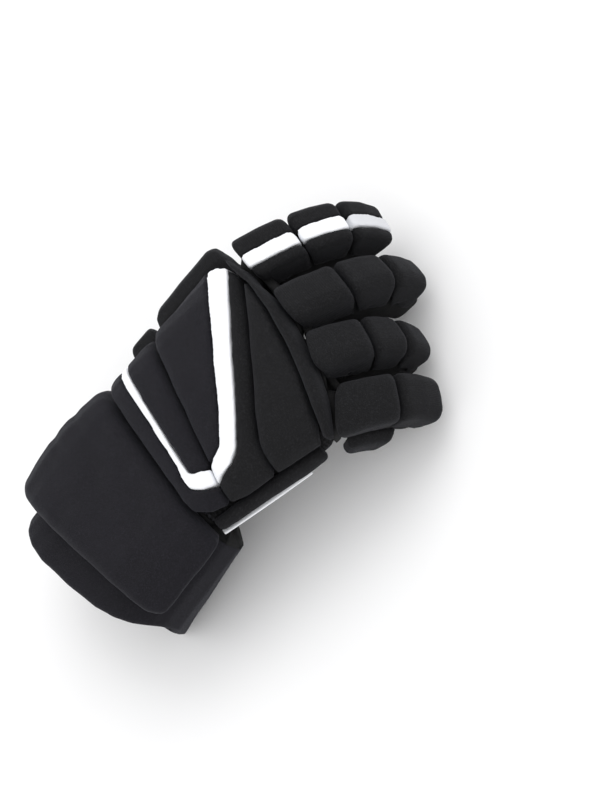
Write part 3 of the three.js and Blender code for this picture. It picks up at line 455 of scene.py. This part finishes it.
def shell_piece(node, finish, levels=2, wrinkle=0.0, size=12 * MM):
    """A leather or lining sheet over a CAD node, with its corners rounded by subdivision."""
    piece = new_piece(f"{node}_skin", merged_copy(node), finish)
    rounding = piece.modifiers.new("Rounding", "SUBSURF")
    rounding.levels = rounding.render_levels = levels
    baked(piece)
    mesh = piece.data
    if wrinkle:
        points = points_of(mesh)
        normals = normals_of(mesh)
        push = np.array([noise.noise(Vector(p) / size) for p in points]) * wrinkle
        set_points(mesh, points + normals * push[:, None])
    for face in mesh.polygons:
        face.use_smooth = True
    add_cloth_map(mesh)
    declare(piece, node)
    return piece


def near(node, others, reach):
    """Points of a CAD node that lie within reach of the other points."""
    tree = tree_of(others)
    return [p for p in points_of(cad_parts[node].data) if tree.find(p)[2] < reach]


def bridge(name, groups, finish):
    """A body that closes a gap: the hull of each group of points on both sides of it."""
    shape = bmesh.new()
    for points in groups:
        apart = {tuple(np.round(p, 5)) for p in points}
        verts = [shape.verts.new(p) for p in sorted(apart)]
        made = bmesh.ops.convex_hull(shape, input=verts)
        spare = {*made["geom_interior"], *made["geom_unused"]}
        spare = [v for v in spare if isinstance(v, bmesh.types.BMVert)]
        bmesh.ops.delete(shape, geom=spare, context="VERTS")
    piece = new_piece(name, shape, finish)
    add_cloth_map(piece.data)
    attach(piece, BODY)
    return piece


def sectors(points, step=15, reach=25):
    """The points in overlapping groups around their middle, seen along the glove."""
    points = np.array(points)
    low, high = points.min(0), points.max(0)
    place = (2 * points - low - high) / (high - low)
    angles = np.degrees(np.arctan2(place[:, 2], place[:, 0]))
    for turn in range(0, 360, step):
        off = np.abs((angles - turn + 180) % 360 - 180)
        chosen = points[off < reach]
        if len(chosen) > 3:
            yield chosen


class BackPads(bpy.types.Operator):
    """Makes the fabric pads on the back of the hand"""

    bl_idname = "glove.back_pads"
    bl_label = "Back pads"

    def execute(self, context):
        for node in SMOOTH_PADS:
            foam_piece(node, "woven_fabric")
        for node in KNIT_PADS:
            foam_piece(node, "knit_fabric")
        return {"FINISHED"}


class BackStripes(bpy.types.Operator):
    """Makes the white stripes on the back of the hand and the piping beside it"""

    bl_idname = "glove.back_stripes"
    bl_label = "Back stripes"

    def execute(self, context):
        for node in BACK_STRIPES:
            foam_piece(node, "white_synthetic", softness=STRIPE_SOFTNESS, pucker=0.4)
        shell_piece("side_piping", "white_synthetic")
        return {"FINISHED"}


class SideRolls(bpy.types.Operator):
    """Makes the rolls along the edges of the back"""

    bl_idname = "glove.side_rolls"
    bl_label = "Side rolls"

    def execute(self, context):
        for node in SIDE_ROLLS:
            foam_piece(node, "knit_fabric")
        return {"FINISHED"}


class FingerRolls(bpy.types.Operator):
    """Makes the rolls on the fingers and the thumb"""

    bl_idname = "glove.finger_rolls"
    bl_label = "Finger rolls"

    def execute(self, context):
        for finger, count in PLAIN_ROLLS.items():
            for i in range(count):
                foam_piece(f"{finger}_roll_{i + 1}", "knit_fabric")
        for finger, count in STRIPED_ROLLS.items():
            for i in range(count):
                for side in ("thumb_side", "little_side"):
                    foam_piece(f"{finger}_roll_{i + 1}_{side}", "knit_fabric")
                finish = "silver_synthetic" if (finger, i) == ("index", 2) else "white_synthetic"
                foam_piece(f"{finger}_stripe_{i + 1}", finish, softness=STRIPE_SOFTNESS, pucker=0.3)
        foam_piece("little_gusset", "knit_fabric")
        return {"FINISHED"}


class Leather(bpy.types.Operator):
    """Makes the palm, the finger stalls and the webs between them"""

    bl_idname = "glove.leather"
    bl_label = "Palm and stalls"

    def execute(self, context):
        for node in STALLS:
            shell_piece(node, "palm_leather", wrinkle=0.4 * MM, size=7 * MM)
        for node in WEBS:
            shell_piece(node, "palm_leather")
        shell_piece("palm", "palm_leather", levels=1, wrinkle=0.5 * MM, size=18 * MM)
        return {"FINISHED"}


class Gussets(bpy.types.Operator):
    """Closes the gaps between the back, the fingers' roots and one another"""

    bl_idname = "glove.gussets"
    bl_label = "Gussets"

    def execute(self, context):
        lining = points_of(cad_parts["back_lining"].data)
        palm = points_of(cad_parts["palm"].data)
        roots = {}
        for finger in FINGERS:
            node = f"{finger}_stall"
            root = near(node, lining, STALL_REACH)
            roots[finger] = near(node, np.concatenate((lining, palm)), ROOT_REACH)
            points = [*root, *near("back_lining", root, LINING_REACH)]
            bridge(f"{finger}_gusset_skin", [points], "palm_leather")
        for left, right in zip(FINGERS, FINGERS[1:]):
            trees = tree_of(roots[left]), tree_of(roots[right])
            reach = min(trees[1].find(p)[2] for p in roots[left]) + CROTCH_REACH
            facing = [p for p in roots[left] if trees[1].find(p)[2] < reach]
            facing += [p for p in roots[right] if trees[0].find(p)[2] < reach]
            middle = points_of(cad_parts[f"{left}_stall"].data).mean(0)
            way = Vector(middle - np.mean(roots[left], 0)).normalized()
            deeper = [Vector(p) + way * CROTCH_DEPTH for p in facing]
            bridge(f"{left}_{right}_crotch", [[*facing, *deeper]], "palm_leather")
        hand = np.concatenate((lining, palm))
        wrist = near("cuff_inner_pad", hand, WRIST_REACH)
        wrist += near("cuff_palm_pad", hand, WRIST_REACH)
        wrist = [*wrist, *near("back_lining", wrist, WRIST_REACH), *near("palm", wrist, WRIST_REACH)]
        bridge("wrist_sleeve", sectors(wrist), "palm_leather")
        return {"FINISHED"}


class Cuff(bpy.types.Operator):
    """Makes the cuff's pads"""

    bl_idname = "glove.cuff"
    bl_label = "Cuff"

    def execute(self, context):
        foam_piece("cuff_outer_pad", "woven_fabric", softness=OUTER_CUFF_SOFTNESS)
        foam_piece("cuff_inner_pad", "woven_fabric", softness=INNER_CUFF_SOFTNESS)
        foam_piece("cuff_palm_pad", "woven_fabric", softness=INNER_CUFF_SOFTNESS)
        palm_pad = points_of(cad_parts["cuff_palm_pad"].data)
        seam = near("cuff_inner_pad", palm_pad, CUFF_SEAM_REACH)
        seam += near("cuff_palm_pad", seam, CUFF_SEAM_REACH)
        for side, sign in (("thumb_side", -1), ("little_side", 1)):
            bridge(f"cuff_seam_{side}", [[p for p in seam if p[0] * sign > 0]], "woven_fabric")
        return {"FINISHED"}


class Lining(bpy.types.Operator):
    """Makes the lining under the back"""

    bl_idname = "glove.lining"
    bl_label = "Lining"

    def execute(self, context):
        shell_piece("back_lining", "lining_mesh", levels=1)
        return {"FINISHED"}


class Stage(bpy.types.Operator):
    """Makes the floor, the light and the camera"""

    bl_idname = "glove.stage"
    bl_label = "Stage"

    def execute(self, context):
        scene = context.scene
        stage = scene.glove_stage
        shape = bmesh.new()
        bmesh.ops.create_grid(shape, x_segments=1, y_segments=1, size=FLOOR_HALF)
        mesh = bpy.data.meshes.new("floor")
        shape.to_mesh(mesh)
        shape.free()
        floor = bpy.data.objects.new("floor", mesh)
        scene.collection.objects.link(floor)
        nodes = Nodes("floor_paper")
        nodes.set(Base_Color=(*stage.floor, 1), Roughness=0.9, Specular_IOR_Level=0.1)
        mesh.materials.append(nodes.material)
        world = bpy.data.worlds.new("studio")
        scene.world = world
        world.use_nodes = True
        background = world.node_tree.nodes["Background"]
        background.inputs["Color"].default_value = (1, 1, 1, 1)
        background.inputs["Strength"].default_value = stage.ambient
        for name, place, size, power in LIGHTS:
            light = bpy.data.lights.new(name, "AREA")
            light.size = size
            light.energy = stage.key * power
            lamp = bpy.data.objects.new(name, light)
            scene.collection.objects.link(lamp)
            lamp.location = place
            lamp.rotation_euler = (AIM - Vector(place)).to_track_quat("-Z", "Y").to_euler()
        camera = bpy.data.cameras.new("camera")
        camera.lens = stage.lens
        camera.sensor_width = SENSOR_WIDTH
        camera.clip_start = 0.01
        holder = bpy.data.objects.new("camera", camera)
        scene.collection.objects.link(holder)
        turn = Matrix((VIEW_RIGHT, VIEW_UP, VIEW_BACK)).transposed().to_4x4()
        holder.matrix_world = Matrix.Translation(VIEW_PLACE) @ turn
        scene.camera = holder
        scene.view_settings.view_transform = "Standard"
        return {"FINISHED"}


VIEW_BACK = Vector((0.584, 0.226, 0.780)).normalized()
VIEW_RIGHT = Vector((0.493, 0.664, -0.562))
VIEW_RIGHT = (VIEW_RIGHT - VIEW_RIGHT.dot(VIEW_BACK) * VIEW_BACK).normalized()
VIEW_UP = VIEW_BACK.cross(VIEW_RIGHT)
AIM = Vector((0.02437, 0.03955, 0.04682))
VIEW_PLACE = AIM + VIEW_DISTANCE * VIEW_BACK
LIGHTS = (
    ("key_light", (-0.5, 0.9, 1.3), 1.2, 1.0),
    ("fill_light", (1.2, -0.6, 0.9), 1.4, 0.35),
)

OPERATORS = (
    BackPads, BackStripes, SideRolls, FingerRolls, Leather, Gussets, Cuff, Lining, Stage)


class GlovePanel(bpy.types.Panel):
    """Lists the glove's pieces"""

    bl_idname = "VIEW3D_PT_glove"
    bl_label = "Ice hockey glove"
    bl_space_type = "VIEW_3D"
    bl_region_type = "UI"
    bl_category = "Glove"

    def draw(self, context):
        for operator in OPERATORS:
            self.layout.operator(operator.bl_idname)
        for name, group in SETTINGS.items():
            box = self.layout.box()
            for key in group.__annotations__:
                box.prop(getattr(context.scene, name), key)


def register():
    for name, group in SETTINGS.items():
        bpy.utils.register_class(group)
        setattr(bpy.types.Scene, name, bpy.props.PointerProperty(type=group))
    for operator in (*OPERATORS, GlovePanel):
        bpy.utils.register_class(operator)


def unregister():
    for operator in reversed((*OPERATORS, GlovePanel)):
        bpy.utils.unregister_class(operator)
    for name, group in reversed(SETTINGS.items()):
        delattr(bpy.types.Scene, name)
        bpy.utils.unregister_class(group)


def main():
    register()
    for operator in OPERATORS:
        group, name = operator.bl_idname.split(".")
        getattr(getattr(bpy.ops, group), name)()


if __name__ == "__main__":
    main()
